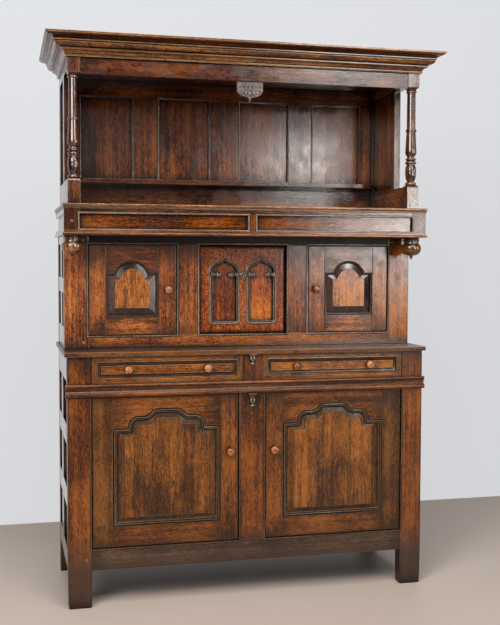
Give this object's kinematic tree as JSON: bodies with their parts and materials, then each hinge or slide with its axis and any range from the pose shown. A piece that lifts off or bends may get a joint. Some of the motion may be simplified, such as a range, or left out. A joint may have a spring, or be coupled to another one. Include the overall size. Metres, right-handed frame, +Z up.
{
  "type": "court cupboard",
  "caption": "Oak court cupboard of three stages with panelled doors, drawers, a carved panel and an open canopy on turned columns.",
  "frame": {"origin": "on the floor under the middle of the whole outline", "axes": "+X to the right seen from the front, +Y to the back, +Z up"},
  "size_m": [1.5, 0.558, 2.058],
  "materials": {
    "oak_case": "waxed dark oak",
    "oak_canopy": "waxed dark oak, redder and darker",
    "oak_fielded": "waxed golden oak",
    "oak_turned": "handled coppery wood",
    "oak_secondary": "dry unpolished oak",
    "iron": "dark forged iron"
  },
  "bodies": {
    "case": {"base_back_boards": "oak_secondary", "base_back_posts": "oak_case", "base_back_rails": "oak_secondary", "base_bottom_rail": "oak_case", "base_drawer_rail": "oak_case", "base_floor_boards": "oak_secondary", "base_front_posts": "oak_case", "base_muntins": "oak_case", "base_side_frame_left": "oak_case", "base_side_frame_right": "oak_case", "base_side_panels": "oak_case", "base_top_boards": "oak_case", "canopy_floor_boards": "oak_secondary", "canopy_front_rail": "oak_canopy", "canopy_top_boards": "oak_secondary", "carved_panel": "oak_case", "centre_drop": "oak_canopy", "columns": "oak_canopy", "corbels": "oak_case", "cornice": "oak_canopy", "drawer_rail_moulding": "oak_case", "drawer_runners": "oak_secondary", "frieze_frame": "oak_case", "frieze_mouldings": "oak_case", "frieze_panels": "oak_case", "hinge_pins": "iron", "joint_pegs": "oak_turned", "middle_back_boards": "oak_secondary", "middle_back_frame": "oak_case", "middle_muntins": "oak_case", "middle_posts": "oak_case", "middle_side_frames": "oak_case", "middle_side_panels": "oak_case", "middle_sill_rail": "oak_case", "middle_top_rail": "oak_case", "pendants": "oak_case", "shelf": "oak_canopy", "soffit_boards": "oak_secondary", "upper_back_frame": "oak_canopy", "upper_back_panels": "oak_canopy", "upper_side_frames": "oak_canopy", "upper_side_panels": "oak_canopy"},
    "lower_left_door": {"lower_left_door_frame": "oak_case", "lower_left_door_panel": "oak_fielded"},
    "lower_left_turn": {"lower_left_knob": "oak_turned"},
    "middle_left_door": {"middle_left_door_frame": "oak_case", "middle_left_door_panel": "oak_fielded"},
    "middle_left_turn": {"middle_left_knob": "oak_turned"},
    "left_drawer": {"left_drawer_front": "oak_case", "left_drawer_box": "oak_secondary", "left_drawer_knobs": "oak_turned"},
    "lower_right_door": {"lower_right_door_frame": "oak_case", "lower_right_door_panel": "oak_fielded"},
    "lower_right_turn": {"lower_right_knob": "oak_turned"},
    "middle_right_door": {"middle_right_door_frame": "oak_case", "middle_right_door_panel": "oak_fielded"},
    "middle_right_turn": {"middle_right_knob": "oak_turned"},
    "right_drawer": {"right_drawer_front": "oak_case", "right_drawer_box": "oak_secondary", "right_drawer_knobs": "oak_turned"}
  },
  "joints": [
    {"name": "lower_left_door_hinge", "type": "hinge", "parent": "case", "child": "lower_left_door", "pos_m": [-0.5805, -0.225, 0.4925], "axis": [0, 0, -1], "range_deg": [0, 90]},
    {"name": "lower_left_turn_button", "type": "hinge", "parent": "lower_left_door", "child": "lower_left_turn", "pos_m": [-0.0845, -0.239, 0.552], "axis": [0, 1, 0], "range_deg": [0, 90]},
    {"name": "middle_left_door_hinge", "type": "hinge", "parent": "case", "child": "middle_left_door", "pos_m": [-0.5775, -0.079, 1.15], "axis": [0, 0, -1], "range_deg": [0, 90]},
    {"name": "middle_left_turn_button", "type": "hinge", "parent": "middle_left_door", "child": "middle_left_turn", "pos_m": [-0.2925, -0.093, 1.15], "axis": [0, 1, 0], "range_deg": [0, 90]},
    {"name": "left_drawer_slide", "type": "slide", "parent": "case", "child": "left_drawer", "axis": [0, -1, 0], "range_m": [0, 0.32]},
    {"name": "lower_right_door_hinge", "type": "hinge", "parent": "case", "child": "lower_right_door", "pos_m": [0.5805, -0.225, 0.4925], "axis": [0, 0, 1], "range_deg": [0, 90]},
    {"name": "lower_right_turn_button", "type": "hinge", "parent": "lower_right_door", "child": "lower_right_turn", "pos_m": [0.0845, -0.239, 0.552], "axis": [0, 1, 0], "range_deg": [0, 90]},
    {"name": "middle_right_door_hinge", "type": "hinge", "parent": "case", "child": "middle_right_door", "pos_m": [0.5775, -0.079, 1.15], "axis": [0, 0, 1], "range_deg": [0, 90]},
    {"name": "middle_right_turn_button", "type": "hinge", "parent": "middle_right_door", "child": "middle_right_turn", "pos_m": [0.2925, -0.093, 1.15], "axis": [0, 1, 0], "range_deg": [0, 90]},
    {"name": "right_drawer_slide", "type": "slide", "parent": "case", "child": "right_drawer", "axis": [0, -1, 0], "range_m": [0, 0.32]}
  ]
}
